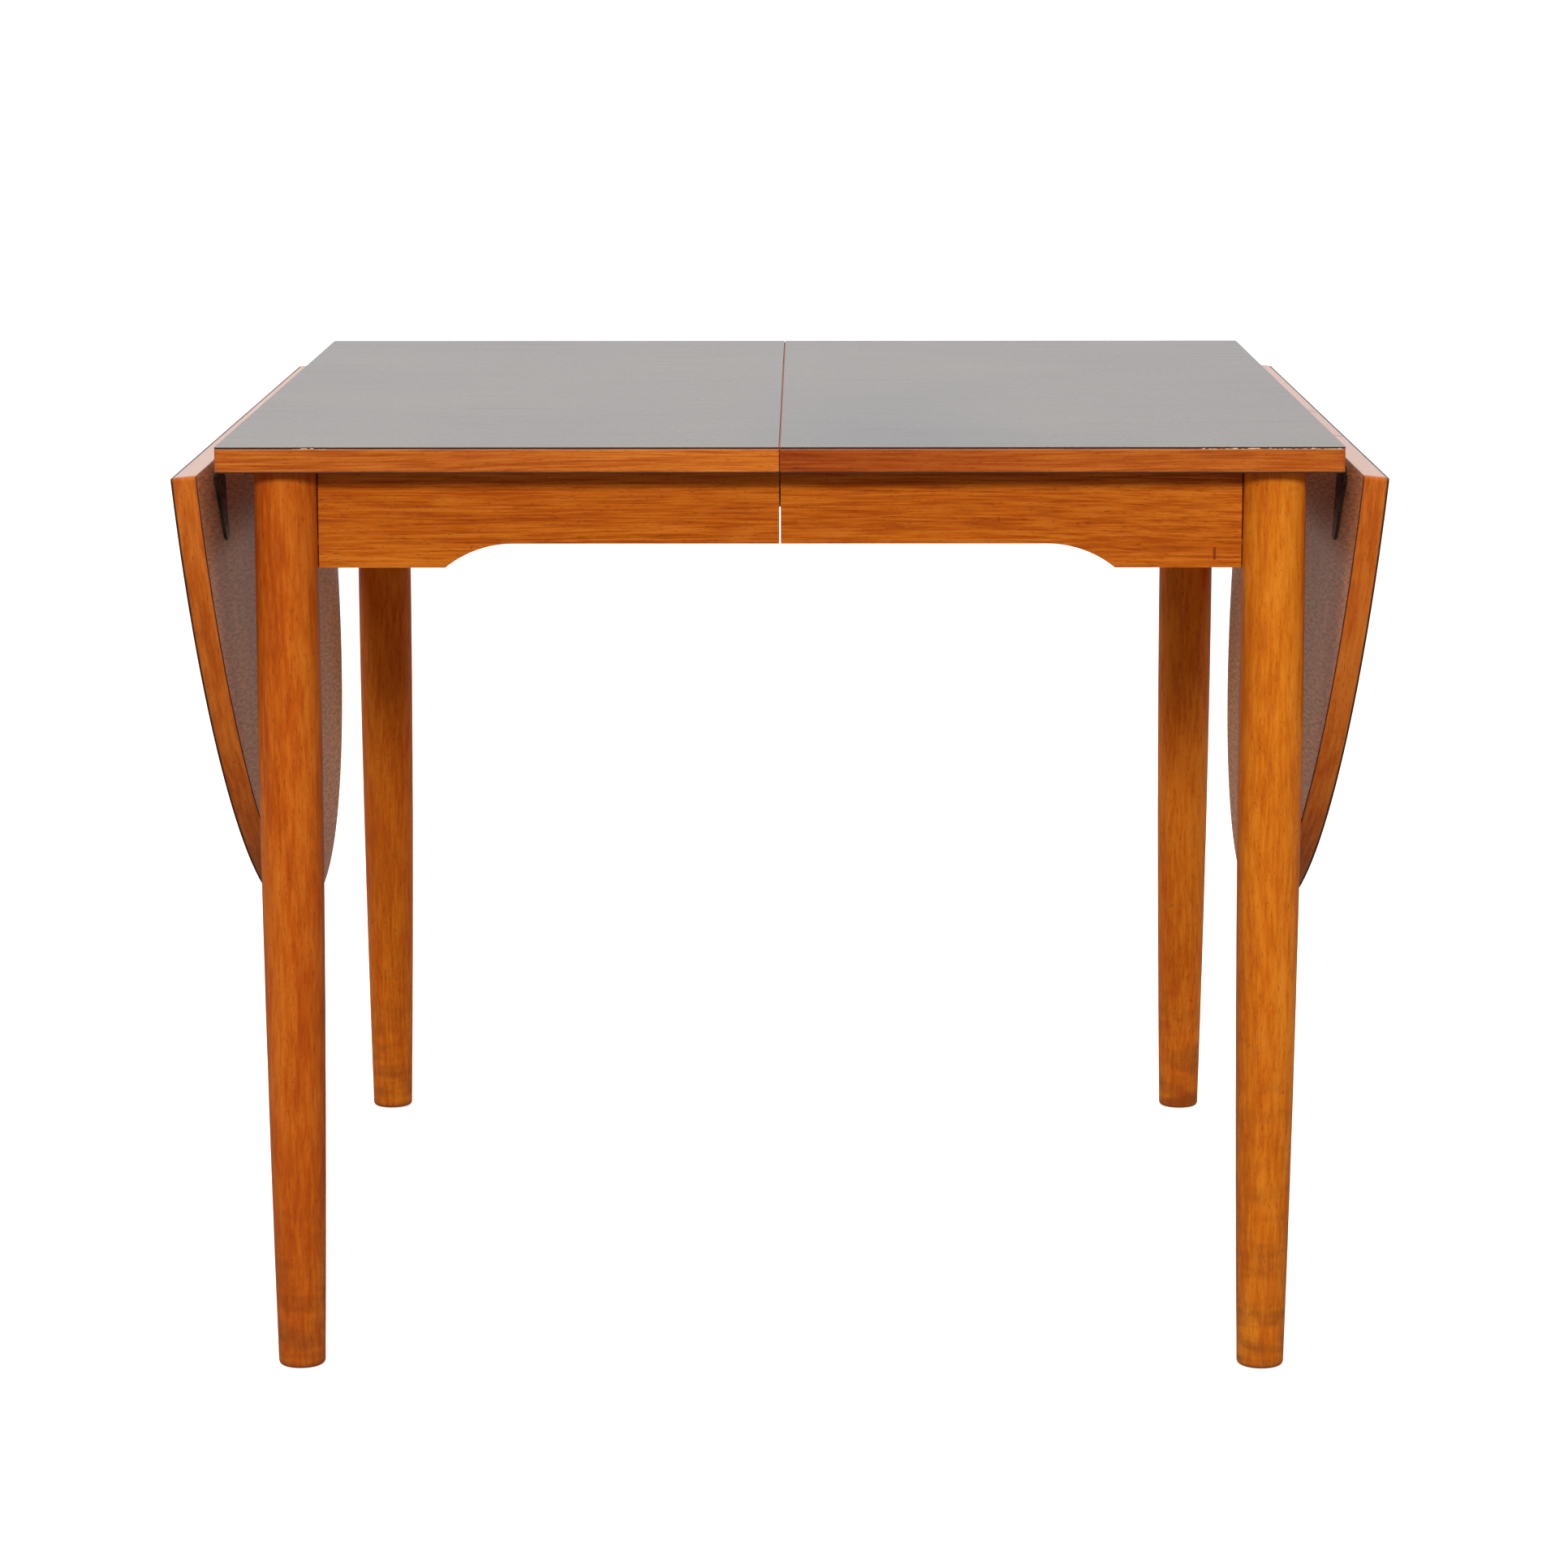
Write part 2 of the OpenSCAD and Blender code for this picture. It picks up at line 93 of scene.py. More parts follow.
top_low, top_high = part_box("right_laminate")
END_X, SIDE_Y, TABLE_H = top_high
SEAM_X = top_low.x
CORE_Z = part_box("right_backing")[1].z
CORE_TOP = top_low.z
edge_low, edge_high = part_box("right_seam_edging")
EDGING_T = edge_high.x - edge_low.x
leaf_low, leaf_high = raised_box("right_leaf_laminate")
JOINT_X = leaf_low.x
LEAF_L = leaf_high.x - leaf_low.x
apron_low, apron_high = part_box("front_right_apron")

CORNER_R = 3 * MM
EASE = 0.9 * MM
LAMINATE_EASE = 0.25 * MM
# Where the points of a rounded arris lie on its quarter circle
ARRIS_TURNS = [math.radians(22.5 * k) for k in range(5)]
# The two rear strips stop this far from the seam's middle, so that no light shows through it
REAR_MEET = 0.05 * MM
# Where the right seam strip ends: 0.05 mm short of the left one, where the CAD leaves 1 mm
SEAM_MEET = -0.45 * MM
# Worn stretches of the front edge: side, and the nearer and further distance from the seam
CHIPPED = [(RIGHT, 0.322, 0.430), (LEFT, 0.346, 0.367)]
# Where the two dark nicks lie along the right leaf's hinged edge, and half their length
NICKS = (-0.17, 0.03)
NICK_HALF = 3 * MM
# The plug in the front right apron: its distance from the apron's end and lower edge, half sizes
PLUG_IN = 33 * MM
PLUG_UP = 11 * MM
PLUG_HALF_W = 1.1 * MM
PLUG_HALF_H = 5 * MM
# How high the scuffs of the feet reach, on the front right leg and on the others
WORN_SCUFF = 0.3
SCUFF = 0.16
# A screw's head depth, shank radius and the length of its pointed tip
SCREW_HEAD_H = 2 * MM
SCREW_SHANK_R = 1.75 * MM
SCREW_TIP_L = 1.5 * MM


# ---- Colours ----

def tone(red, green, blue):
    """A colour given as 0 to 255 display values, in scene light."""
    def light(value):
        share = value / 255
        return share / 12.92 if share < 0.04045 else ((share + 0.055) / 1.055) ** 2.4
    return (light(red), light(green), light(blue), 1.0)


TEAK_PALE = tone(218, 128, 36)
TEAK = tone(194, 98, 16)
TEAK_DEEP = tone(154, 64, 12)
TEAK_RED = tone(172, 70, 20)
PORE = tone(100, 44, 20)
CREAM = tone(226, 206, 176)
GREY_PRINT = tone(106, 100, 97)
PHENOLIC = tone(40, 29, 25)
BACKING = tone(250, 172, 112)


# ---- Node materials ----

def add_node(tree, kind, inputs, output=0, **settings):
    """Adds a node with its settings and its linked or constant inputs, and returns one output."""
    node = tree.nodes.new("ShaderNode" + kind)
    for key, value in settings.items():
        setattr(node, key, value)
    for key, value in inputs.items():
        if isinstance(value, bpy.types.NodeSocket):
            tree.links.new(value, node.inputs[key])
        else:
            node.inputs[key].default_value = value
    return node.outputs[output]


class Paint:
    """A node material being made. Each method adds a node and returns its output socket."""

    def __init__(self, name):
        self.material = bpy.data.materials.new(name)
        self.material.use_nodes = True
        self.tree = self.material.node_tree
        self.tree.nodes.clear()

    def add(self, kind, inputs, output=0, **settings):
        return add_node(self.tree, kind, inputs, output, **settings)

    def place(self):
        """Where a point is on its CAD part, in metres."""
        return self.add("TexCoord", {}, "Object")

    def split(self, vector):
        return [self.add("SeparateXYZ", {"Vector": vector}, axis) for axis in "XYZ"]

    def join(self, x, y, z):
        return self.add("CombineXYZ", {"X": x, "Y": y, "Z": z})

    def stretch(self, vector, scale, offset=(0, 0, 0)):
        return self.add("Mapping", {"Vector": vector, "Scale": scale, "Location": offset})

    def noise(self, vector, scale=1.0, detail=2.0, rough=0.5, warp=0.0):
        return self.add("TexNoise", {"Vector": vector, "Scale": scale, "Detail": detail,
                                     "Roughness": rough, "Distortion": warp})

    def span(self, value, low, high, out_low=0.0, out_high=1.0):
        """value from low to high, carried over to out_low to out_high and held at both ends."""
        return self.add("MapRange", {"Value": value, "From Min": low, "From Max": high,
                                     "To Min": out_low, "To Max": out_high})

    def math(self, operation, first, second=0.0):
        return self.add("Math", {0: first, 1: second}, operation=operation)

    def mix(self, share, first, second, blend="MIX"):
        return self.add("Mix", {0: share, 6: first, 7: second}, 2, data_type="RGBA",
                        blend_type=blend)

    def within(self, value, low, high, soft):
        """1 between low and high, and 0 outside, with soft ends."""
        rise = self.span(value, low - soft, low + soft)
        fall = self.span(value, high - soft, high + soft, 1.0, 0.0)
        return self.math("MULTIPLY", rise, fall)

    def finish(self, colour, roughness, bump=None, depth=0.1 * MM, metallic=0.0, **constants):
        shader = self.tree.nodes.new("ShaderNodeBsdfPrincipled")
        for key, value in (("Base Color", colour), ("Roughness", roughness)):
            if isinstance(value, bpy.types.NodeSocket):
                self.tree.links.new(value, shader.inputs[key])
            else:
                shader.inputs[key].default_value = value
        shader.inputs["Metallic"].default_value = metallic
        for key, value in constants.items():
            shader.inputs[key.replace("_", " ")].default_value = value
        if bump is not None:
            normal = self.add("Bump", {"Height": bump, "Strength": 0.6, "Distance": depth})
            self.tree.links.new(normal, shader.inputs["Normal"])
        output = self.tree.nodes.new("ShaderNodeOutputMaterial")
        self.tree.links.new(shader.outputs[0], output.inputs["Surface"])
        return self.material


def along_grain(paint, grain, seed):
    """Coordinates with X along the grain. grain is an axis, or "path" for a piece's own strip."""
    if grain == "path":
        vector = paint.add("Attribute", {}, "Vector", attribute_name="grain")
    else:
        x, y, z = paint.split(paint.place())
        order = {"X": (x, y, z), "Y": (y, x, z), "Z": (z, x, y)}[grain]
        vector = paint.join(*order)
    offset = (1.37 * seed, 0.61 * seed, 0.83 * seed)
    return paint.add("VectorMath", {0: vector, 1: offset}, operation="ADD")


def wood(name, grain, seed, pale=TEAK_PALE, middle=TEAK, deep=TEAK_DEEP, red=0.35, marks=None,
         mottled=False, gloss=0.08):
    """Teak with bands, streaks, fibres and short dark pores. marks(paint, colour) adds wear, and on
    some pieces painted light: a contact shadow on the legs, a highlight on the long edging strips
    and a glare on the leaf joint strips.

    A mottled wood has shorter figure, and gloss is the strength of its sheen.
    """
    paint = Paint(name)
    place = along_grain(paint, grain, seed)
    drift = paint.noise(paint.stretch(place, (2.2, 10, 10)), detail=1.0)
    drift = paint.add("VectorMath", {0: (0, 0.02, 0.013), "Scale": drift}, operation="SCALE")
    place = paint.add("VectorMath", {0: place, 1: drift}, operation="ADD")
    bands = paint.noise(paint.stretch(place, (7, 34, 34) if mottled else (2.4, 70, 70)),
                        detail=3.0, rough=0.55)
    streaks = paint.noise(paint.stretch(place, (34, 300, 300) if mottled else (16, 640, 640)),
                          detail=3.0, rough=0.6)
    share = 0.5 if mottled else 0.3
    fibres = paint.noise(paint.stretch(place, (60, 2400, 2400)), detail=2.0, rough=0.6)
    flame = paint.noise(paint.stretch(place, (24, 90, 90)), detail=3.0, warp=0.6)
    blotch = paint.noise(paint.stretch(place, (5, 14, 14)), detail=2.0)
    pores = paint.noise(paint.stretch(place, (170, 1500, 1500)), detail=1.0)
    pores = paint.span(pores, 0.63, 0.72)
    figure = paint.math("ADD", paint.math("MULTIPLY", bands, share),
                        paint.math("MULTIPLY", streaks, 1 - share))
    colour = paint.mix(paint.span(figure, 0.39, 0.51), deep, middle)
    colour = paint.mix(paint.span(figure, 0.49, 0.62, 0.0, 0.9), colour, pale)
    colour = paint.mix(paint.span(flame, 0.5, 0.75, 0.0, 0.45), colour, pale)
    colour = paint.mix(paint.span(blotch, 0.45, 0.75, 0.0, red), colour, TEAK_RED)
    colour = paint.mix(paint.span(fibres, 0.3, 0.75, 0.24, 0.0), colour, deep)
    colour = paint.mix(paint.math("MULTIPLY", pores, 0.5), colour, PORE)
    if marks:
        colour = marks(paint, colour)
    height = paint.math("SUBTRACT", paint.math("ADD", paint.math("MULTIPLY", streaks, 0.5), fibres),
                        pores)
    roughness = paint.span(streaks, 0.3, 0.7, 0.36, 0.5)
    return paint.finish(colour, roughness, height, 0.12 * MM, Specular_IOR_Level=gloss)


def handling_marks_and_foot_shadow(floor_wear):
    """Small dark dents all over, and where floor_wear is set, darker scuffs towards the floor and a
    painted contact shadow along the lowest few millimetres.
    """
    def marks(paint, colour):
        place = paint.place()
        dents = paint.span(paint.noise(place, 210, detail=1.0), 0.73, 0.8, 0.0, 0.45)
        colour = paint.mix(dents, colour, PORE)
        if floor_wear:
            height = paint.split(place)[2]
            smear = paint.noise(paint.stretch(place, (1, 1, 3)), 26, detail=3.0)
            low = paint.span(height, 0.0, floor_wear, 1.0, 0.0)
            scuff_and_shadow = paint.math("MULTIPLY", low, paint.span(smear, 0.42, 0.66, 0.1, 0.6))
            # Painted contact shadow: the lowest 7 mm of a foot darken towards the floor.
            contact_shadow = paint.span(height, 1.5 * MM, 7 * MM, 0.65, 0.0)
            scuff_and_shadow = paint.math("MAXIMUM", scuff_and_shadow, contact_shadow)
            colour = paint.mix(scuff_and_shadow, colour, tone(112, 50, 24))
        return colour
    return marks


def edging_marks_and_highlight(side, edge):
    """Pale chips under the laminate, a faint painted highlight along the top arris, and the darker,
    redder stretch beside the right front seam.
    """
    def marks(paint, colour):
        place = paint.place()
        x, _, z = paint.split(place)
        if (side, edge) == (RIGHT, FRONT):
            near_seam = paint.span(x, 0.01, 0.26, 1.0, 0.0)
            colour = paint.mix(near_seam, colour, (0.7, 0.56, 0.66, 1), "MULTIPLY")
        if (side, edge) == (LEFT, FRONT):
            near_seam = paint.span(x, -0.2, -0.01)
            colour = paint.mix(near_seam, colour, (1.2, 1.3, 1.2, 1), "MULTIPLY")
        # Painted highlight: the top millimetre of the strip, just under the laminate, is mixed a
        # little towards cream.
        arris = paint.span(z, CORE_TOP - 1.3 * MM, CORE_TOP - 0.7 * MM)
        colour = paint.mix(paint.math("MULTIPLY", arris, 0.16), colour, CREAM)
        for chip_side, low, high in CHIPPED:
            if chip_side == side and edge == FRONT:
                inside = paint.within(x, min(side * low, side * high),
                                      max(side * low, side * high), 2 * MM)
                worn = paint.span(paint.noise(place, 260, detail=3.0), 0.42, 0.5)
                lip = paint.span(z, CORE_TOP - 0.6 * MM, CORE_TOP - 0.3 * MM)
                pale = paint.math("MULTIPLY", paint.math("MULTIPLY", inside, worn), lip)
                colour = paint.mix(paint.math("MULTIPLY", pale, 0.85), colour, CREAM)
        return colour
    return marks


def joint_glare_and_nicks(side):
    """The hinged edge of a leaf, made paler all over by a painted glare, with two dark nicks on the
    right leaf.
    """
    def marks(paint, colour):
        # Painted glare: the whole strip is mixed halfway towards a pale grey-cream.
        colour = paint.mix(0.55, colour, tone(188, 176, 168))
        if side == RIGHT:
            y = paint.split(paint.place())[1]
            for nick in NICKS:
                dark = paint.within(y, nick - NICK_HALF, nick + NICK_HALF, 2 * MM)
                colour = paint.mix(paint.math("MULTIPLY", dark, 0.7), colour, PORE)
        return colour
    return marks


def laminate():
    """Dark grey printed laminate with a fine woven texture. Its grey light is its sheen."""
    paint = Paint("laminate")
    place = paint.place()
    x, y, _ = paint.split(place)
    cloud = paint.noise(place, 4.5, detail=3.0)
    weave_x = paint.noise(paint.stretch(place, (160, 1300, 1300)), detail=2.0)
    weave_y = paint.noise(paint.stretch(place, (1300, 160, 1300)), detail=2.0)
    weave = paint.math("ADD", paint.math("MULTIPLY", weave_x, 0.5),
                       paint.math("MULTIPLY", weave_y, 0.5))
    speck = paint.noise(place, 900, detail=2.0)
    colour = paint.mix(paint.span(weave, 0.4, 0.6, 0.0, 0.55), GREY_PRINT, tone(84, 80, 78))
    colour = paint.mix(paint.span(speck, 0.62, 0.72, 0.0, 0.5), colour, tone(138, 131, 127))
    colour = paint.mix(paint.span(cloud, 0.4, 0.65, 0.0, 0.35), colour, tone(114, 107, 102))
    mottle = paint.noise(place, 340, detail=4.0, rough=0.7)
    colour = paint.mix(paint.span(mottle, 0.35, 0.5, 0.35, 0.0), colour, tone(76, 71, 69))
    shade = paint.math("MULTIPLY", paint.within(x, 0.004, 0.16, 0.05),
                       paint.span(y, -SIDE_Y, 0.1, 0.6, 0.0))
    colour = paint.mix(shade, colour, tone(80, 79, 84))
    scratches = paint.noise(paint.stretch(place, (6, 900, 900)), detail=0.0, warp=0.4)
    scratches = paint.span(scratches, 0.74, 0.78, 0.0, 0.25)
    roughness = paint.math("ADD", paint.span(weave, 0.4, 0.6, 0.4, 0.46), scratches)
    return paint.finish(colour, roughness, weave, 0.04 * MM)


def laminate_edge(side):
    """The dark core of the laminate, with pale chips along the worn front stretches."""
    paint = Paint(f"laminate_edge_{SIDES[side]}")
    place = paint.place()
    x, y, z = paint.split(place)
    grit = paint.noise(place, 500, detail=3.0)
    colour = paint.mix(paint.span(grit, 0.35, 0.7), PHENOLIC, tone(62, 44, 36))
    for chip_side, low, high in CHIPPED:
        if chip_side == side:
            inside = paint.within(x, min(side * low, side * high),
                                  max(side * low, side * high), 2 * MM)
            front = paint.span(y, -SIDE_Y + 4 * MM, -SIDE_Y + 5 * MM, 1.0, 0.0)
            broken = paint.span(paint.noise(place, 190, detail=3.0), 0.52, 0.57)
            low_half = paint.span(z, CORE_TOP + 0.3 * MM, CORE_TOP + 0.6 * MM, 1.0, 0.0)
            chipped = paint.math("MULTIPLY", paint.math("MULTIPLY", inside, front),
                                 paint.math("MULTIPLY", broken, low_half))
            colour = paint.mix(chipped, colour, CREAM)
    return paint.finish(colour, 0.5, grit, 0.1 * MM)


def backing(name, across):
    """Brown backing sheet: speckled, with a slightly slanting, sanded texture and dark edges.

    across is the axis, 0 to 2, that its faces look along.
    """
    paint = Paint(name)
    place = paint.place()
    x, y, z = paint.split(place)
    slope = paint.math("MULTIPLY", y, 0.1)
    slant = paint.join(y, paint.math("ADD", x if across == 2 else z, slope), 0.0)
    hatch = paint.noise(paint.stretch(slant, (42, 460, 1)), detail=4.0, rough=0.65)
    speck = paint.noise(place, 700, detail=4.0, rough=0.7)
    cloud = paint.noise(place, 9, detail=3.0)
    colour = paint.mix(paint.span(hatch, 0.38, 0.62), tone(176, 116, 84), BACKING)
    colour = paint.mix(paint.span(speck, 0.52, 0.66, 0.0, 0.6), colour, tone(240, 184, 144))
    colour = paint.mix(paint.span(speck, 0.48, 0.34, 0.0, 0.7), colour, tone(142, 88, 62))
    colour = paint.mix(paint.span(cloud, 0.4, 0.7, 0.0, 0.35), colour, tone(182, 130, 102))
    normal = paint.split(paint.add("TexCoord", {}, "Normal"))[across]
    edge = paint.span(paint.math("ABSOLUTE", normal), 0.5, 0.8, 1.0, 0.0)
    colour = paint.mix(edge, colour, tone(62, 38, 28))
    height = paint.math("ADD", hatch, speck)
    return paint.finish(colour, 0.46, height, 0.08 * MM, Specular_IOR_Level=0.12)


def chipboard():
    """Pressed flakes in straw and brown."""
    paint = Paint("chipboard")
    place = paint.place()
    cells = paint.add("TexVoronoi", {"Vector": place, "Scale": 520.0}, "Color")
    flake = paint.add("SeparateColor", {"Color": cells}, 0)
    dust = paint.noise(place, 1300, detail=2.0)
    colour = paint.mix(flake, tone(150, 118, 76), tone(212, 184, 138))
    colour = paint.mix(paint.span(dust, 0.55, 0.75, 0.0, 0.5), colour, tone(104, 74, 44))
    height = paint.math("ADD", flake, dust)
    return paint.finish(colour, 0.85, height, 0.3 * MM)


def beech(name, grain, seed):
    """Pale beech with short brown flecks."""
    paint = Paint(name)
    place = along_grain(paint, grain, seed)
    streaks = paint.noise(paint.stretch(place, (5, 220, 220)), detail=4.0)
    flecks = paint.noise(paint.stretch(place, (330, 1500, 1500)), detail=1.0)
    flecks = paint.span(flecks, 0.62, 0.7)
    grime = paint.noise(paint.place(), 14, detail=4.0)
    colour = paint.mix(paint.span(streaks, 0.35, 0.65), tone(190, 148, 98), tone(222, 184, 136))
    colour = paint.mix(paint.math("MULTIPLY", flecks, 0.6), colour, tone(140, 92, 52))
    colour = paint.mix(paint.span(grime, 0.5, 0.8, 0.0, 0.4), colour, tone(128, 96, 64))
    height = paint.math("SUBTRACT", streaks, flecks)
    return paint.finish(colour, paint.span(streaks, 0.3, 0.7, 0.5, 0.62), height, 0.12 * MM)


def bronzed_steel():
    """Dark bronzed steel, rubbed brighter in places, with brown stains."""
    paint = Paint("bronzed_steel")
    place = paint.place()
    rub = paint.noise(place, 60, detail=5.0, rough=0.65)
    stain = paint.noise(place, 170, detail=4.0)
    grit = paint.noise(place, 1200, detail=2.0)
    colour = paint.mix(paint.span(rub, 0.4, 0.7), tone(48, 42, 36), tone(96, 90, 76))
    colour = paint.mix(paint.span(stain, 0.52, 0.7, 0.0, 0.7), colour, tone(62, 40, 28))
    roughness = paint.span(rub, 0.3, 0.75, 0.5, 0.34)
    return paint.finish(colour, roughness, grit, 0.06 * MM, metallic=0.85)


def old_brass():
    """Tarnished brass of the screws."""
    paint = Paint("old_brass")
    place = paint.place()
    tarnish = paint.noise(place, 420, detail=4.0)
    brushed = paint.noise(paint.stretch(place, (2600, 300, 300)), detail=1.0)
    colour = paint.mix(paint.span(tarnish, 0.35, 0.7), tone(176, 140, 78), tone(92, 68, 40))
    return paint.finish(colour, paint.span(tarnish, 0.3, 0.7, 0.32, 0.55), brushed, 0.04 * MM,
                        metallic=0.9)


# ---- Building pieces ----

def mirrored(side, edge=FRONT):
    """From the right front quarter to another quarter."""
    return Matrix.Diagonal((side, -edge, 1, 1))


class Shape:
    """Faces of one piece. Each vertex also keeps its place along, across and through the grain."""

    def __init__(self):
        self.points = []
        self.grain = []
        self.faces = []
        self.paints = []

    def ring(self, points, grain=None):
        start = len(self.points)
        self.points += [Vector(p) for p in points]
        self.grain += [Vector(g) for g in (grain or points)]
        return list(range(start, len(self.points)))

    def face(self, corners, paint=0):
        self.faces.append(corners)
        self.paints.append(paint)

    def skin(self, first, second, paint=0):
        """Joins two closed rings of the same length."""
        count = len(first)
        for i in range(count):
            j = (i + 1) % count
            self.face([first[i], first[j], second[j], second[i]], paint)

    def build(self, name, materials, transform, body, slot, replaced, smooth=32):
        mesh = bpy.data.meshes.new(name)
        mesh.from_pydata([transform @ p for p in self.points], [], self.faces)
        for polygon, paint in zip(mesh.polygons, self.paints):
            polygon.material_index = paint
        attribute = mesh.attributes.new("grain", "FLOAT_VECTOR", "POINT")
        attribute.data.foreach_set("vector", [c for g in self.grain for c in g])
        work = bmesh.new()
        work.from_mesh(mesh)
        bmesh.ops.recalc_face_normals(work, faces=work.faces)
        work.to_mesh(mesh)
        work.free()
        mesh.shade_smooth()
        mesh.set_sharp_from_angle(angle=math.radians(smooth))
        for material in materials:
            mesh.materials.append(material)
        piece = bpy.data.objects.new(name, mesh)
        bpy.context.scene.collection.objects.link(piece)
        piece.modifiers.new("normals", "WEIGHTED_NORMAL").keep_sharp = True
        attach(piece, body)
        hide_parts(*replaced)
        return piece


def arc(centre, radius, start, stop, steps):
    """Points on a circle from one angle to another, in degrees."""
    turns = [math.radians(start + (stop - start) * i / steps) for i in range(steps + 1)]
    return [Vector((centre[0] + radius * math.cos(t), centre[1] + radius * math.sin(t)))
            for t in turns]


def between(first, last, step):
    """Points from first to last, about one step apart."""
    first, last = Vector(first), Vector(last)
    count = max(1, round((last - first).length / step))
    return [first.lerp(last, i / count) for i in range(count + 1)]


def strip(outer, inner, low, high, seed, ease=EASE):
    """An edging strip between two paths seen from above, its two outer arrises rounded.

    outer and inner hold the same number of points. Small dents press into the outer face.
    """
    chance = random.Random(seed)
    shape = Shape()
    rings = []
    run = 0.0
    dent = 0.0
    for i, (out, back) in enumerate(zip(outer, inner)):
        if i:
            run += (out - outer[i - 1]).length
        width = (back - out).length
        if chance.random() < 0.03:
            dent = chance.uniform(0.1, 0.35) * MM
        round_r = ease * chance.uniform(0.85, 1.15) + dent
        dent *= 0.3
        profile = [(round_r * (1 - math.sin(turn)), low + round_r * (1 - math.cos(turn)))
                   for turn in ARRIS_TURNS]
        upper = [(u, low + high - z) for u, z in reversed(profile)]
        profile += upper + [(EDGING_T, high), (EDGING_T, low)]
        ring = []
        grain = []
        for u, z in profile:
            spot = out.lerp(back, min(1.0, u / EDGING_T)) if width else out
            ring.append((spot.x, spot.y, z))
            grain.append((run, z, u))
        rings.append(shape.ring(ring, grain))
    for first, second in zip(rings, rings[1:]):
        shape.skin(first, second)
    shape.face(rings[0])
    shape.face(rings[-1][::-1])
    return shape


def bites(low, high, chance):
    """Bites out of the laminate's front edge between two distances: centre, half width, depth."""
    found = []
    at = low
    while at < high:
        half = chance.uniform(0.7, 3.2) * MM
        found.append((at + half, half, chance.uniform(0.25, 1.1) * MM))
        at += half * chance.uniform(1.6, 3.4)
    return found


def front_line(side, chance):
    """The front edge of a right half's laminate from the seam outwards, with its chips."""
    last = END_X - CORNER_R
    chips = []
    for chip_side, low, high in CHIPPED:
        if chip_side == side:
            chips += bites(low, min(high, last), chance)
    chips += [(chance.uniform(0.02, last), chance.uniform(0.4, 1.0) * MM, 0.2 * MM)
              for _ in range(5)]
    marks = {0.0, last - SEAM_X}
    for centre, half, _ in chips:
        for k in range(-4, 5):
            marks.add(min(max(centre - SEAM_X + half * k / 4, 0.0), last - SEAM_X))
    line = []
    for run in sorted(marks):
        x = SEAM_X + run
        depth = 0.0
        for centre, half, deep in chips:
            reach = 1 - ((x - centre) / half) ** 2
            if reach > 0:
                depth = max(depth, deep * math.sqrt(reach))
        line.append(Vector((x, -SIDE_Y + depth)))
    return line


def top_outline(side, seed):
    """The right half top from above, counter-clockwise from the front of the seam."""
    chance = random.Random(seed)
    front = front_line(side, chance)
    corner = arc((END_X - CORNER_R, CORNER_R - SIDE_Y), CORNER_R, -90, 0, 6)[1:]
    far = arc((END_X - CORNER_R, SIDE_Y - CORNER_R), CORNER_R, 0, 90, 6)
    return front + corner + far + [Vector((SEAM_X, SIDE_Y))]


def leaf_arc(margin, steps=150):
    """The curve of a raised right leaf, less a margin, from the front corner to the rear one."""
    length = LEAF_L - margin
    width = SIDE_Y - margin
    turns = [math.pi * i / steps for i in range(steps + 1)]
    return [Vector((JOINT_X + length * math.sin(t), -width * math.cos(t))) for t in turns]


def leaf_outer():
    """A raised leaf's curve with its two corners eased, from the joint round to the joint."""
    corner = arc((JOINT_X + CORNER_R, CORNER_R - SIDE_Y), CORNER_R, 180, 270, 6)
    curve = [p for p in leaf_arc(0) if p.x > JOINT_X + 1.5 * CORNER_R]
    return corner + curve + [Vector((p.x, -p.y)) for p in reversed(corner)]


def inset(outline, distance):
    """A closed outline moved inwards. The outline runs counter-clockwise."""
    moved = []
    count = len(outline)
    for i, point in enumerate(outline):
        before = outline[i - 1]
        after = outline[(i + 1) % count]
        ways = []
        for way in (point - before, after - point):
            way = way.normalized()
            ways.append(Vector((-way.y, way.x)))
        inward = (ways[0] + ways[1]).normalized()
        lean = max(0.5, inward.dot(ways[0]))
        moved.append(point + inward * (distance / lean))
    return moved


def sheet_shape(outline, low, high, ease):
    """A thin sheet with its upper arris eased. Paint 0 is its face and paint 1 its edge."""
    shape = Shape()
    levels = [(0.0, low), (0.0, high - ease), (0.3 * ease, high - 0.3 * ease), (ease, high)]
    rings = [shape.ring([(p.x, p.y, z) for p in inset(outline, step)]) for step, z in levels]
    for first, second in zip(rings, rings[1:]):
        shape.skin(first, second, 1)
    shape.face(rings[0][::-1], 1)
    shape.face(rings[-1], 0)
    return shape


# ---- Legs ----

# A turned ring of a leg has more points than this. The rims of its dowel holes have fewer.
RING_POINTS = 20


def leg_profile(node):
    """A leg's centre, and its heights with their radii, read from the rings of its CAD node."""
    low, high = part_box(node)
    centre = (low + high) / 2
    spots = {}
    for v in frame["nodes"][node].data.vertices:
        reach = math.hypot(v.co.x - centre.x, v.co.y - centre.y)
        spots.setdefault((round(v.co.z, 4), round(reach, 4)), set()).add(round(v.co.x, 4))
    turned = sorted(key for key, found in spots.items() if len(found) > RING_POINTS)
    return centre, turned


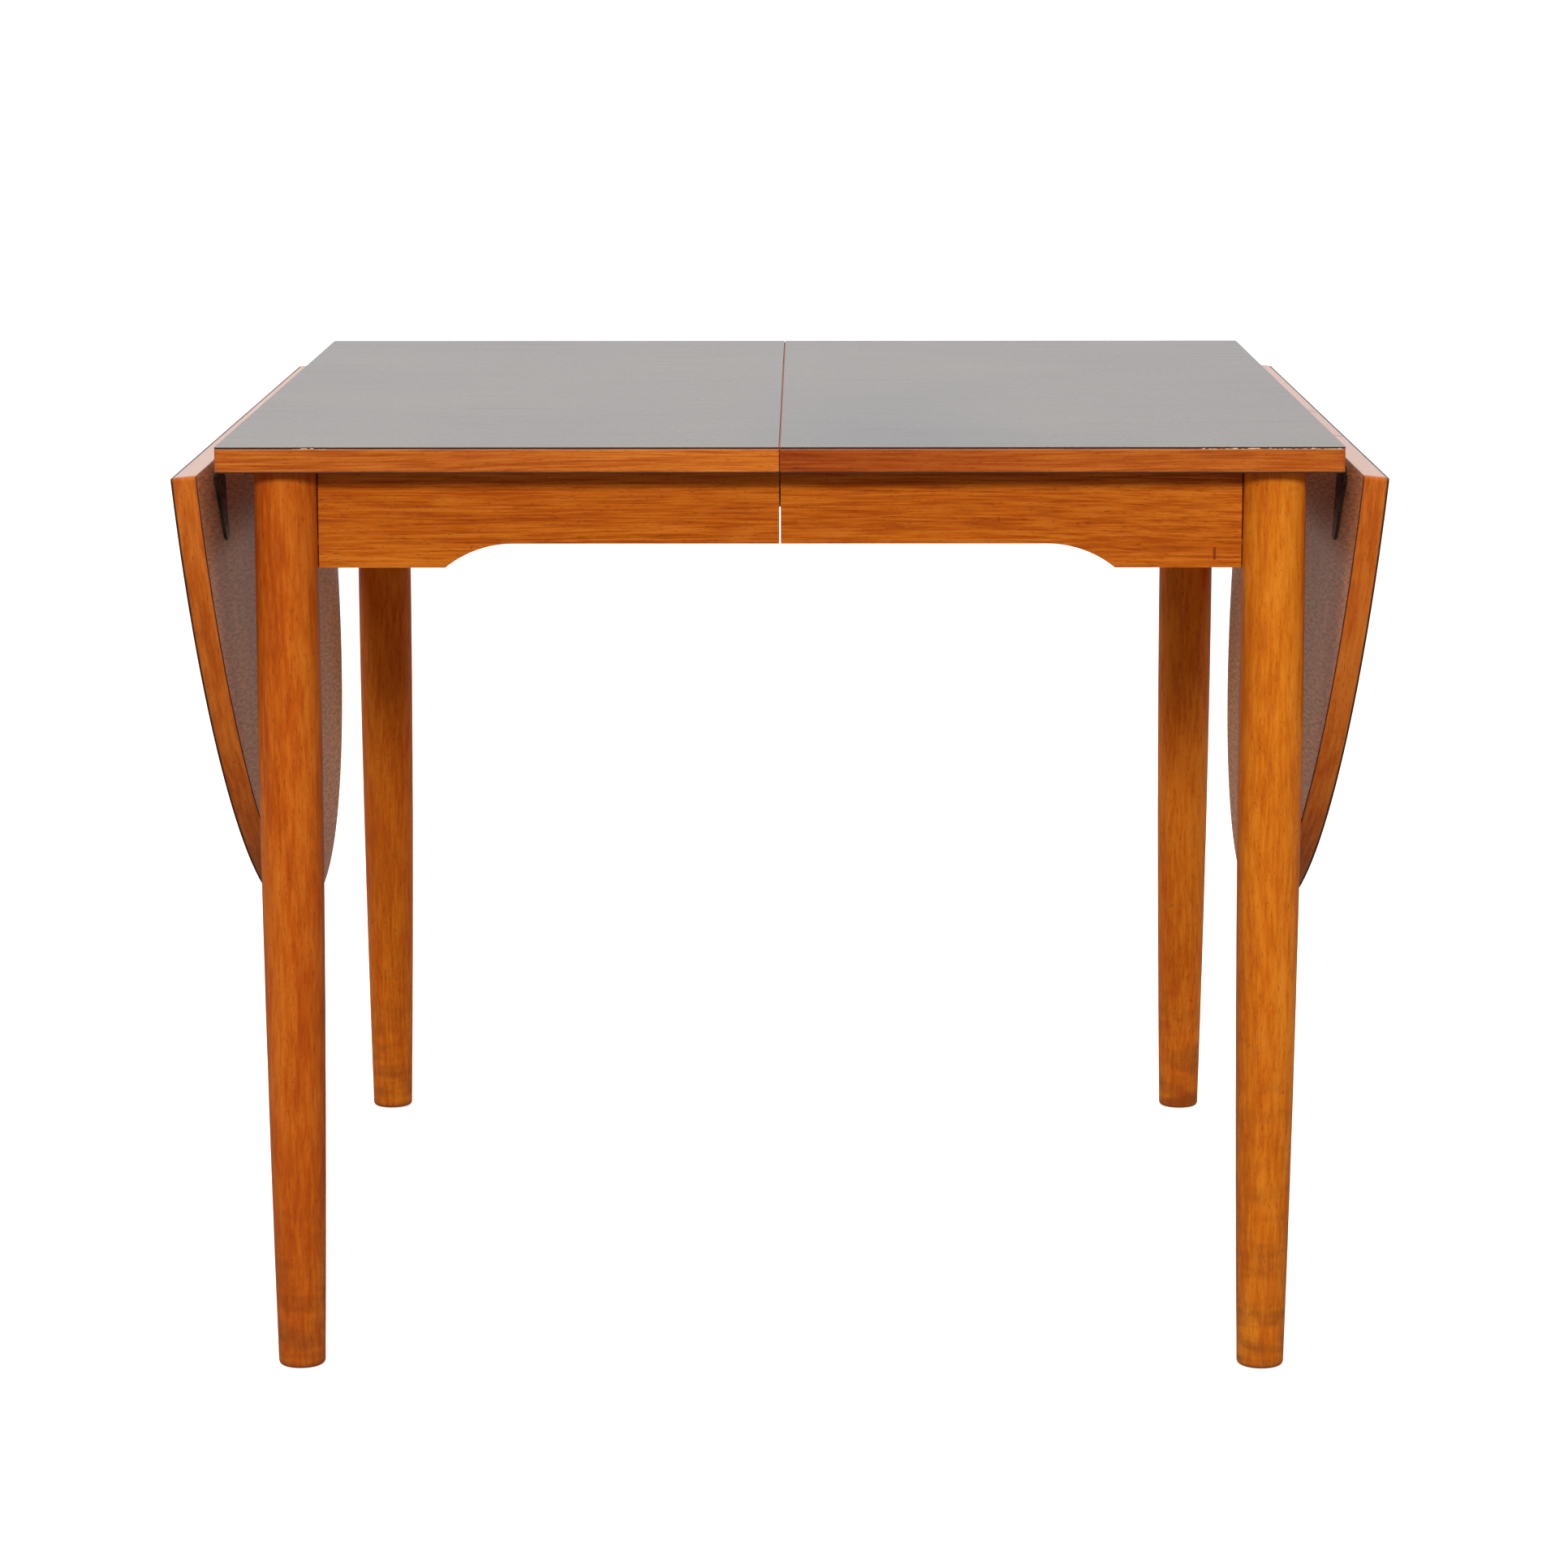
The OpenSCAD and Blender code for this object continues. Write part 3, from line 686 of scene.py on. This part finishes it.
def leg(side, edge, material):
    node = f"{EDGES[edge]}_{SIDES[side]}_leg"
    centre, turned = leg_profile(node)
    shape = Shape()
    around = 72
    rings = []
    for z, radius in turned:
        spots = []
        for k in range(around):
            turn = 2 * math.pi * k / around
            spots.append((centre.x + radius * math.cos(turn),
                          centre.y + radius * math.sin(turn), z))
        grain = [(p[2], p[0] - centre.x, p[1] - centre.y) for p in spots]
        rings.append(shape.ring(spots, grain))
    for first, second in zip(rings, rings[1:]):
        shape.skin(first, second)
    shape.face(rings[0][::-1])
    shape.face(rings[-1])
    return shape.build(node.replace("leg", "turned_leg"), [material], Matrix.Identity(4),
                       f"{SIDES[side]}_half", "teak", [node], smooth=40)


# Each leg's pale, middle and deep teak tones and its share of red. The rear legs' tones are painted
# light: they are set lighter than the front ones to make up for the weaker light reaching them.
LEG_TONES = {
    (LEFT, FRONT): (tone(212, 116, 34), tone(193, 91, 17), tone(172, 72, 14), 0.5),
    (RIGHT, FRONT): (tone(230, 138, 38), tone(213, 114, 20), tone(192, 94, 16), 0.2),
    (LEFT, REAR): (tone(234, 132, 34), tone(219, 112, 20), tone(198, 90, 16), 0.3),
    (RIGHT, REAR): (tone(240, 138, 38), tone(224, 117, 24), tone(204, 94, 18), 0.25),
}


def make_legs():
    for index, ((side, edge), (pale, middle, deep, red)) in enumerate(LEG_TONES.items()):
        name = f"teak_leg_{EDGES[edge]}_{SIDES[side]}"
        wear = WORN_SCUFF if (side, edge) == (RIGHT, FRONT) else SCUFF
        material = wood(name, "path", 3 + index, pale, middle, deep, red, handling_marks_and_foot_shadow(wear),
                        mottled=True)
        leg(side, edge, material)


# ---- Tops ----

def edging_wood(name, seed, marks=None, gloss=0.08, grain="path"):
    return wood(name, grain, seed, tone(208, 120, 44), tone(187, 93, 29), tone(158, 72, 22),
                marks=marks, gloss=gloss)


def long_edging(side, edge, seed):
    tip = Vector((END_X - EDGING_T, EDGING_T - SIDE_Y))
    start = Vector((SEAM_X if edge == FRONT else REAR_MEET, -SIDE_Y))
    outer = between(start, (END_X - CORNER_R, -SIDE_Y), 5 * MM)
    inner = between((SEAM_X, tip.y), tip, (tip.x - SEAM_X) / (len(outer) - 1))
    corner = arc((END_X - CORNER_R, CORNER_R - SIDE_Y), CORNER_R, -90, -45, 4)[1:]
    outer += corner
    inner += [tip] * len(corner)
    name = f"{SIDES[side]}_{EDGES[edge]}_edging"
    material = edging_wood(f"teak_{name}", seed, edging_marks_and_highlight(side, edge))
    shape = strip(outer, inner[:len(outer)], CORE_Z, CORE_TOP, seed)
    return shape.build(f"{name}_strip", [material], mirrored(side, edge), f"{SIDES[side]}_half",
                       "teak_edging", [name])


def end_edging(side, seed):
    tip = Vector((END_X - EDGING_T, EDGING_T - SIDE_Y))
    far_tip = Vector((tip.x, -tip.y))
    corner = arc((END_X - CORNER_R, CORNER_R - SIDE_Y), CORNER_R, -45, 0, 4)[:-1]
    straight = between((END_X, CORNER_R - SIDE_Y), (END_X, SIDE_Y - CORNER_R), 5 * MM)
    outer = corner + straight + [Vector((p.x, -p.y)) for p in reversed(corner)]
    inside = between(tip, far_tip, (far_tip - tip).length / (len(straight) - 1))
    inner = [tip] * len(corner) + inside + [far_tip] * len(corner)
    name = f"{SIDES[side]}_end_edging"
    shape = strip(outer, inner, CORE_Z, CORE_TOP, seed)
    return shape.build(f"{name}_strip", [edging_wood(f"teak_{name}", seed)], mirrored(side),
                       f"{SIDES[side]}_half", "teak_edging", [name])


def right_seam_strip(seed):
    """The right seam strip, which nearly closes the CAD's 1 mm clearance to the left one."""
    reach = SIDE_Y - EDGING_T
    outer = between((SEAM_MEET, reach), (SEAM_MEET, -reach), 8 * MM)
    inner = [Vector((SEAM_X + EDGING_T, p.y)) for p in outer]
    shape = strip(outer, inner, CORE_Z, CORE_TOP, seed, 0.4 * MM)
    material = edging_wood("teak_right_seam_edging", seed)
    return shape.build("right_seam_edging_strip", [material], mirrored(RIGHT), "right_half",
                       "teak_edging", ["right_seam_edging"])


def make_tops(face, rims):
    right_seam_strip(28)
    for side in SIDES:
        seed = 20 + 5 * side
        long_edging(side, FRONT, seed)
        long_edging(side, REAR, seed + 1)
        end_edging(side, seed + 2)
        shape = sheet_shape(top_outline(side, seed), CORE_TOP, TABLE_H, LAMINATE_EASE)
        shape.build(f"{SIDES[side]}_laminate_sheet", [face, rims[side]], mirrored(side),
                    f"{SIDES[side]}_half", "laminate", [f"{SIDES[side]}_laminate"], smooth=20)


# ---- Leaves ----

def matched(path, outer):
    """As many points along a path as outer has, at the same shares of its length."""
    def runs(points):
        total = [0.0]
        for first, second in zip(points, points[1:]):
            total.append(total[-1] + (second - first).length)
        return [t / total[-1] for t in total]
    shares = runs(path)
    spots = []
    i = 0
    for share in runs(outer):
        while i < len(path) - 2 and shares[i + 1] < share:
            i += 1
        gap = shares[i + 1] - shares[i]
        spots.append(path[i].lerp(path[i + 1], min(1.0, max(0.0, (share - shares[i]) / gap))))
    return spots


def make_leaves(face, rims):
    for side in SIDES:
        name = f"{SIDES[side]}_leaf"
        seed = 40 + 5 * side
        place = mirrored(side) @ HANG
        outer = leaf_outer()
        inner = matched(leaf_arc(EDGING_T), outer)
        curved = strip(outer, inner, CORE_Z, CORE_TOP, seed)
        bent = wood(f"teak_{name}_rim", "path", seed, tone(212, 122, 44), tone(196, 98, 28),
                    tone(172, 80, 22), 0.4, handling_marks_and_foot_shadow(0), mottled=True)
        curved.build(f"{name}_bent_rim", [bent], place, name, "teak_edging",
                     [f"{name}_curved_edging"])
        reach = SIDE_Y - EDGING_T
        joint_line = between((JOINT_X, reach), (JOINT_X, -reach), 8 * MM)
        cut = math.sqrt(1 - (EDGING_T / (LEAF_L - EDGING_T)) ** 2)
        behind = [Vector((JOINT_X + EDGING_T, p.y * cut)) for p in joint_line]
        straight = strip(joint_line, behind, CORE_Z, CORE_TOP, seed + 1)
        plain = edging_wood(f"teak_{name}_joint", seed + 1, joint_glare_and_nicks(side), gloss=0.45)
        straight.build(f"{name}_joint_strip", [plain], place, name, "teak_edging",
                       [f"{name}_joint_edging"])
        top = sheet_shape(outer, CORE_TOP, TABLE_H, LAMINATE_EASE)
        top.build(f"{name}_laminate_sheet", [face, rims[side]], place, name, "laminate",
                  [f"{name}_laminate"], smooth=20)


# ---- Screws ----

def clusters(points, reach):
    """Middles of groups of points that lie within reach of each other."""
    groups = []
    for p in points:
        for group in groups:
            if (group[0] - p).length < reach:
                group.append(p)
                break
        else:
            groups.append([p])
    return [sum(g, Vector((0, 0, 0))) / len(g) for g in groups]


def screw_mesh(shape, place, turn, head_r, head_h, shank_r, shank_l):
    """A slotted countersunk screw, head down, with its head's face at place."""
    slot_half = 0.45 * MM
    slot_deep = 0.9 * MM
    ease = 0.15 * MM
    steps = 14
    spin = Matrix.Rotation(turn, 4, "Z")

    def cone(z):
        return head_r - (head_r - shank_r) * z / head_h

    def put(points):
        return shape.ring([place + spin @ Vector(p) for p in points])

    for half in (1, -1):
        levels = [(ease, 0.0), (0.0, ease), (0.0, slot_deep)]
        rings = []
        for shrink, z in levels:
            radius = cone(z) - shrink
            start = math.asin((slot_half + shrink) / radius)
            turns = [start + (math.pi - 2 * start) * k / steps for k in range(steps + 1)]
            rings.append(put([(radius * math.cos(t), half * radius * math.sin(t), z)
                              for t in turns]))
        for first, second in zip(rings, rings[1:]):
            shape.skin(first, second)
        shape.face(rings[0])
        shape.face(rings[-1])
    whole = []
    for z, radius in ((slot_deep, cone(slot_deep)), (head_h, shank_r), (shank_l, shank_r),
                      (shank_l + SCREW_TIP_L, 0.3 * MM)):
        whole.append(put([(radius * math.cos(t), radius * math.sin(t), z)
                          for t in [2 * math.pi * k / 24 for k in range(24)]]))
    for first, second in zip(whole, whole[1:]):
        shape.skin(first, second)
    shape.face(whole[0])
    shape.face(whole[-1])


def screw_group(name, node, body, points, place, material):
    """Slotted screws where a CAD screw node has its heads. points are its vertices, leaf raised."""
    face_z = min(p.z for p in points)
    rim = [p for p in points if p.z < face_z + 0.1 * MM]
    spots = clusters(rim, 5 * MM)
    head_r = max((p - spots[0]).length for p in rim if (p - spots[0]).length < 5 * MM)
    length = max(p.z for p in points) - face_z
    chance = random.Random(name)
    shape = Shape()
    for spot in spots:
        spot.z = face_z
        screw_mesh(shape, spot, chance.uniform(0, math.pi), head_r, SCREW_HEAD_H, SCREW_SHANK_R,
                   length - SCREW_TIP_L)
    return shape.build(name, [material], place, body, "screws", [node], smooth=40)


def make_screws(brass):
    for side in SIDES:
        word = SIDES[side]
        plate = [v.co.copy() for v in frame["nodes"]["right_plate_screws"].data.vertices]
        screw_group(f"{word}_slotted_plate_screws", f"{word}_plate_screws", f"{word}_half", plate,
                    mirrored(side), brass)
        screw_group(f"{word}_slotted_strap_screws", f"{word}_strap_screws", f"{word}_leaf",
                    raised_points("right_strap_screws"), mirrored(side) @ HANG, brass)


# ---- CAD nodes that keep their shape ----

def dress(node, material, ease=0.0):
    """A CAD node's own shape with a finished material and, where ease is set, softened arrises."""
    piece = frame["nodes"][node]
    if not piece.material_slots:
        piece.data.materials.append(material)
    for place in piece.material_slots:
        place.material = material
    if ease:
        weld = piece.modifiers.new("weld", "WELD")
        weld.merge_threshold = 0.01 * MM
        soft = piece.modifiers.new("ease", "BEVEL")
        soft.width = ease
        soft.segments = 3
        soft.limit_method = "ANGLE"
        soft.angle_limit = math.radians(35)
        piece.modifiers.new("normals", "WEIGHTED_NORMAL").keep_sharp = True


def apron_marks(side, edge):
    """The small red-brown plug near the right end of the front apron, among handling marks."""
    def marks(paint, colour):
        colour = handling_marks_and_foot_shadow(0)(paint, colour)
        if (side, edge) == (RIGHT, FRONT):
            x, _, z = paint.split(paint.place())
            plug_x = apron_high.x - PLUG_IN
            plug_z = apron_low.z + PLUG_UP
            across = paint.within(x, plug_x - PLUG_HALF_W, plug_x + PLUG_HALF_W, 0.3 * MM)
            upright = paint.within(z, plug_z - PLUG_HALF_H, plug_z + PLUG_HALF_H, 0.6 * MM)
            inside = paint.math("MULTIPLY", across, upright)
            colour = paint.mix(paint.math("MULTIPLY", inside, 0.75), colour, tone(118, 36, 26))
        return colour
    return marks


def dress_frame(board, planks, steel):
    for side, word in SIDES.items():
        seed = 60 + 9 * side
        for edge, place in EDGES.items():
            grain = wood(f"teak_{place}_{word}_apron", "X", seed + 2 * edge, tone(214, 122, 34),
                         tone(192, 95, 16), tone(158, 68, 12), 0.2, apron_marks(side, edge))
            dress(f"{place}_{word}_apron", grain, 0.7 * MM)
            dress(f"{word}_{place}_runner", beech(f"beech_{word}_{place}_runner", "X", seed + edge),
                  0.8 * MM)
            dress(f"{place}_{word}_loper",
                  beech(f"beech_{place}_{word}_loper", "X", seed + 4 + edge), 0.8 * MM)
        dress(f"{word}_end_apron", wood(f"teak_{word}_end_apron", "Y", seed + 7), 0.7 * MM)
        dress(f"{word}_corner_blocks", beech(f"beech_{word}_blocks", "Z", seed + 8), 0.8 * MM)
        dress(f"{word}_loper_guides", beech(f"beech_{word}_guides", "Y", seed + 11), 0.6 * MM)
        dress(f"{word}_apron_dowels", beech(f"beech_{word}_dowels", "X", seed + 12))
        for part in ("top_core", "leaf_core"):
            dress(f"{word}_{part}", board)
        for part, sheet in zip(("backing", "leaf_backing"), planks):
            dress(f"{word}_{part}", sheet)
        for part in ("hinge_plates", "hinge_straps"):
            dress(f"{word}_{part}", steel, 0.3 * MM)
        dress(f"{word}_hinge_pins", steel)
    dress("seam_pegs", beech("beech_pegs", "X", 90), 0.6 * MM)
    dress("left_seam_edging", edging_wood("teak_left_seam_edging", 61, grain="Y"), 0.3 * MM)


# ---- Stage ----

SKY_BACK = 1.25
SKY_FRONT = 0.4
SKY_BELOW = 0.22
SKY_LEFT = 1.3
SKY_RIGHT = 0.9
FLOOR_GLOW = 0.55
FLOOR_REACH = 150.0
# The two lamps: place, size in metres and power in watts
FRONT_BOX = ((-0.1, -8.5, 3.4), (2.7, 1.0), 505)
TOP_BOX = ((0.0, 0.2, 3.4), (3.0, 3.0), 36)
# The camera: place, lens in millimetres, and its turn, downward tilt and roll in degrees
CAMERA_AT = (0.0205, -4.108, 1.132)
CAMERA_LENS = 109.7
CAMERA_TURN = 0.273
CAMERA_TILT = 10.19
CAMERA_ROLL = -0.057


def make_floor():
    """A pale, faintly glowing floor. It lights no piece: the dim lower sky does that instead."""
    reach = FLOOR_REACH
    mesh = bpy.data.meshes.new("floor")
    mesh.from_pydata([(-reach, -reach, 0), (reach, -reach, 0), (reach, reach, 0),
                      (-reach, reach, 0)], [], [(0, 1, 2, 3)])
    paint = Paint("floor")
    grain = paint.noise(paint.place(), 3.0, detail=2.0)
    colour = paint.mix(paint.span(grain, 0.3, 0.7), (0.86, 0.86, 0.86, 1), (0.88, 0.88, 0.88, 1))
    mesh.materials.append(paint.finish(colour, 0.9, Specular_IOR_Level=0.0,
                                       Emission_Color=(1, 1, 1, 1),
                                       Emission_Strength=FLOOR_GLOW))
    floor = bpy.data.objects.new("floor", mesh)
    bpy.context.scene.collection.objects.link(floor)
    floor.visible_diffuse = False
    floor.visible_glossy = False


def soft_box(name, aim, place, size, power):
    light = bpy.data.lights.new(name, "AREA")
    light.shape = "RECTANGLE"
    light.size, light.size_y = size
    light.energy = power
    lamp = bpy.data.objects.new(name, light)
    bpy.context.scene.collection.objects.link(lamp)
    lamp.location = place
    lamp.rotation_euler = (Vector(aim) - Vector(place)).to_track_quat("-Z", "Y").to_euler()
    # The front lamp's mirror image turned the top white from behind
    lamp.visible_glossy = False


def make_sky():
    """Soft room light: white behind the table, dimmer in front and dim from below."""
    world = bpy.data.worlds.new("studio")
    world.use_nodes = True
    tree = world.node_tree

    def add(kind, inputs, output=0, **settings):
        return add_node(tree, kind, inputs, output, **settings)

    way = add("TexCoord", {}, "Generated")
    across = add("SeparateXYZ", {"Vector": way}, "X")
    ahead = add("SeparateXYZ", {"Vector": way}, "Y")
    height = add("SeparateXYZ", {"Vector": way}, "Z")
    wall = add("MapRange", {"Value": ahead, "From Min": -0.4, "From Max": 0.9,
                            "To Min": SKY_FRONT, "To Max": SKY_BACK})
    tilt = add("MapRange", {"Value": across, "From Min": -1.0, "From Max": 1.0,
                            "To Min": SKY_LEFT, "To Max": SKY_RIGHT})
    wall = add("Math", {0: wall, 1: tilt}, operation="MULTIPLY")
    share = add("MapRange", {"Value": height, "From Min": -0.12, "From Max": 0.0,
                             "To Min": 0.0, "To Max": 1.0})
    level = add("Mix", {0: share, 2: SKY_BELOW, 3: wall}, 0, data_type="FLOAT")
    seen = add("LightPath", {}, "Is Camera Ray")
    level = add("Mix", {0: seen, 2: level, 3: 1.0}, 0, data_type="FLOAT")
    tree.links.new(level, tree.nodes["Background"].inputs["Strength"])
    tree.nodes["Background"].inputs["Color"].default_value = (1, 1, 1, 1)
    bpy.context.scene.world = world


def make_light():
    make_sky()
    middle = (0, 0, 0.5 * TABLE_H)
    soft_box("front_box", middle, *FRONT_BOX)
    soft_box("top_box", middle, *TOP_BOX)


def make_camera():
    """The camera stands in front at chest height and looks slightly down. It has no shift."""
    camera = bpy.data.cameras.new("camera")
    camera.sensor_width = 36
    camera.lens = CAMERA_LENS
    camera.clip_end = 400
    view = bpy.data.objects.new("camera", camera)
    bpy.context.scene.collection.objects.link(view)
    turn = Matrix.Rotation(math.radians(CAMERA_TURN), 4, "Z")
    tilt = Matrix.Rotation(math.radians(90 - CAMERA_TILT), 4, "X")
    roll = Matrix.Rotation(math.radians(CAMERA_ROLL), 4, "Z")
    view.matrix_world = Matrix.Translation(CAMERA_AT) @ turn @ tilt @ roll
    bpy.context.scene.camera = view
    bpy.context.scene.view_settings.view_transform = "Standard"


def main():
    make_camera()
    make_light()
    make_floor()
    face = laminate()
    rims = {side: laminate_edge(side) for side in SIDES}
    brass = old_brass()
    make_legs()
    make_tops(face, rims)
    make_leaves(face, rims)
    make_screws(brass)
    planks = (backing("backing", 2), backing("leaf_backing", 0))
    dress_frame(chipboard(), planks, bronzed_steel())


main()
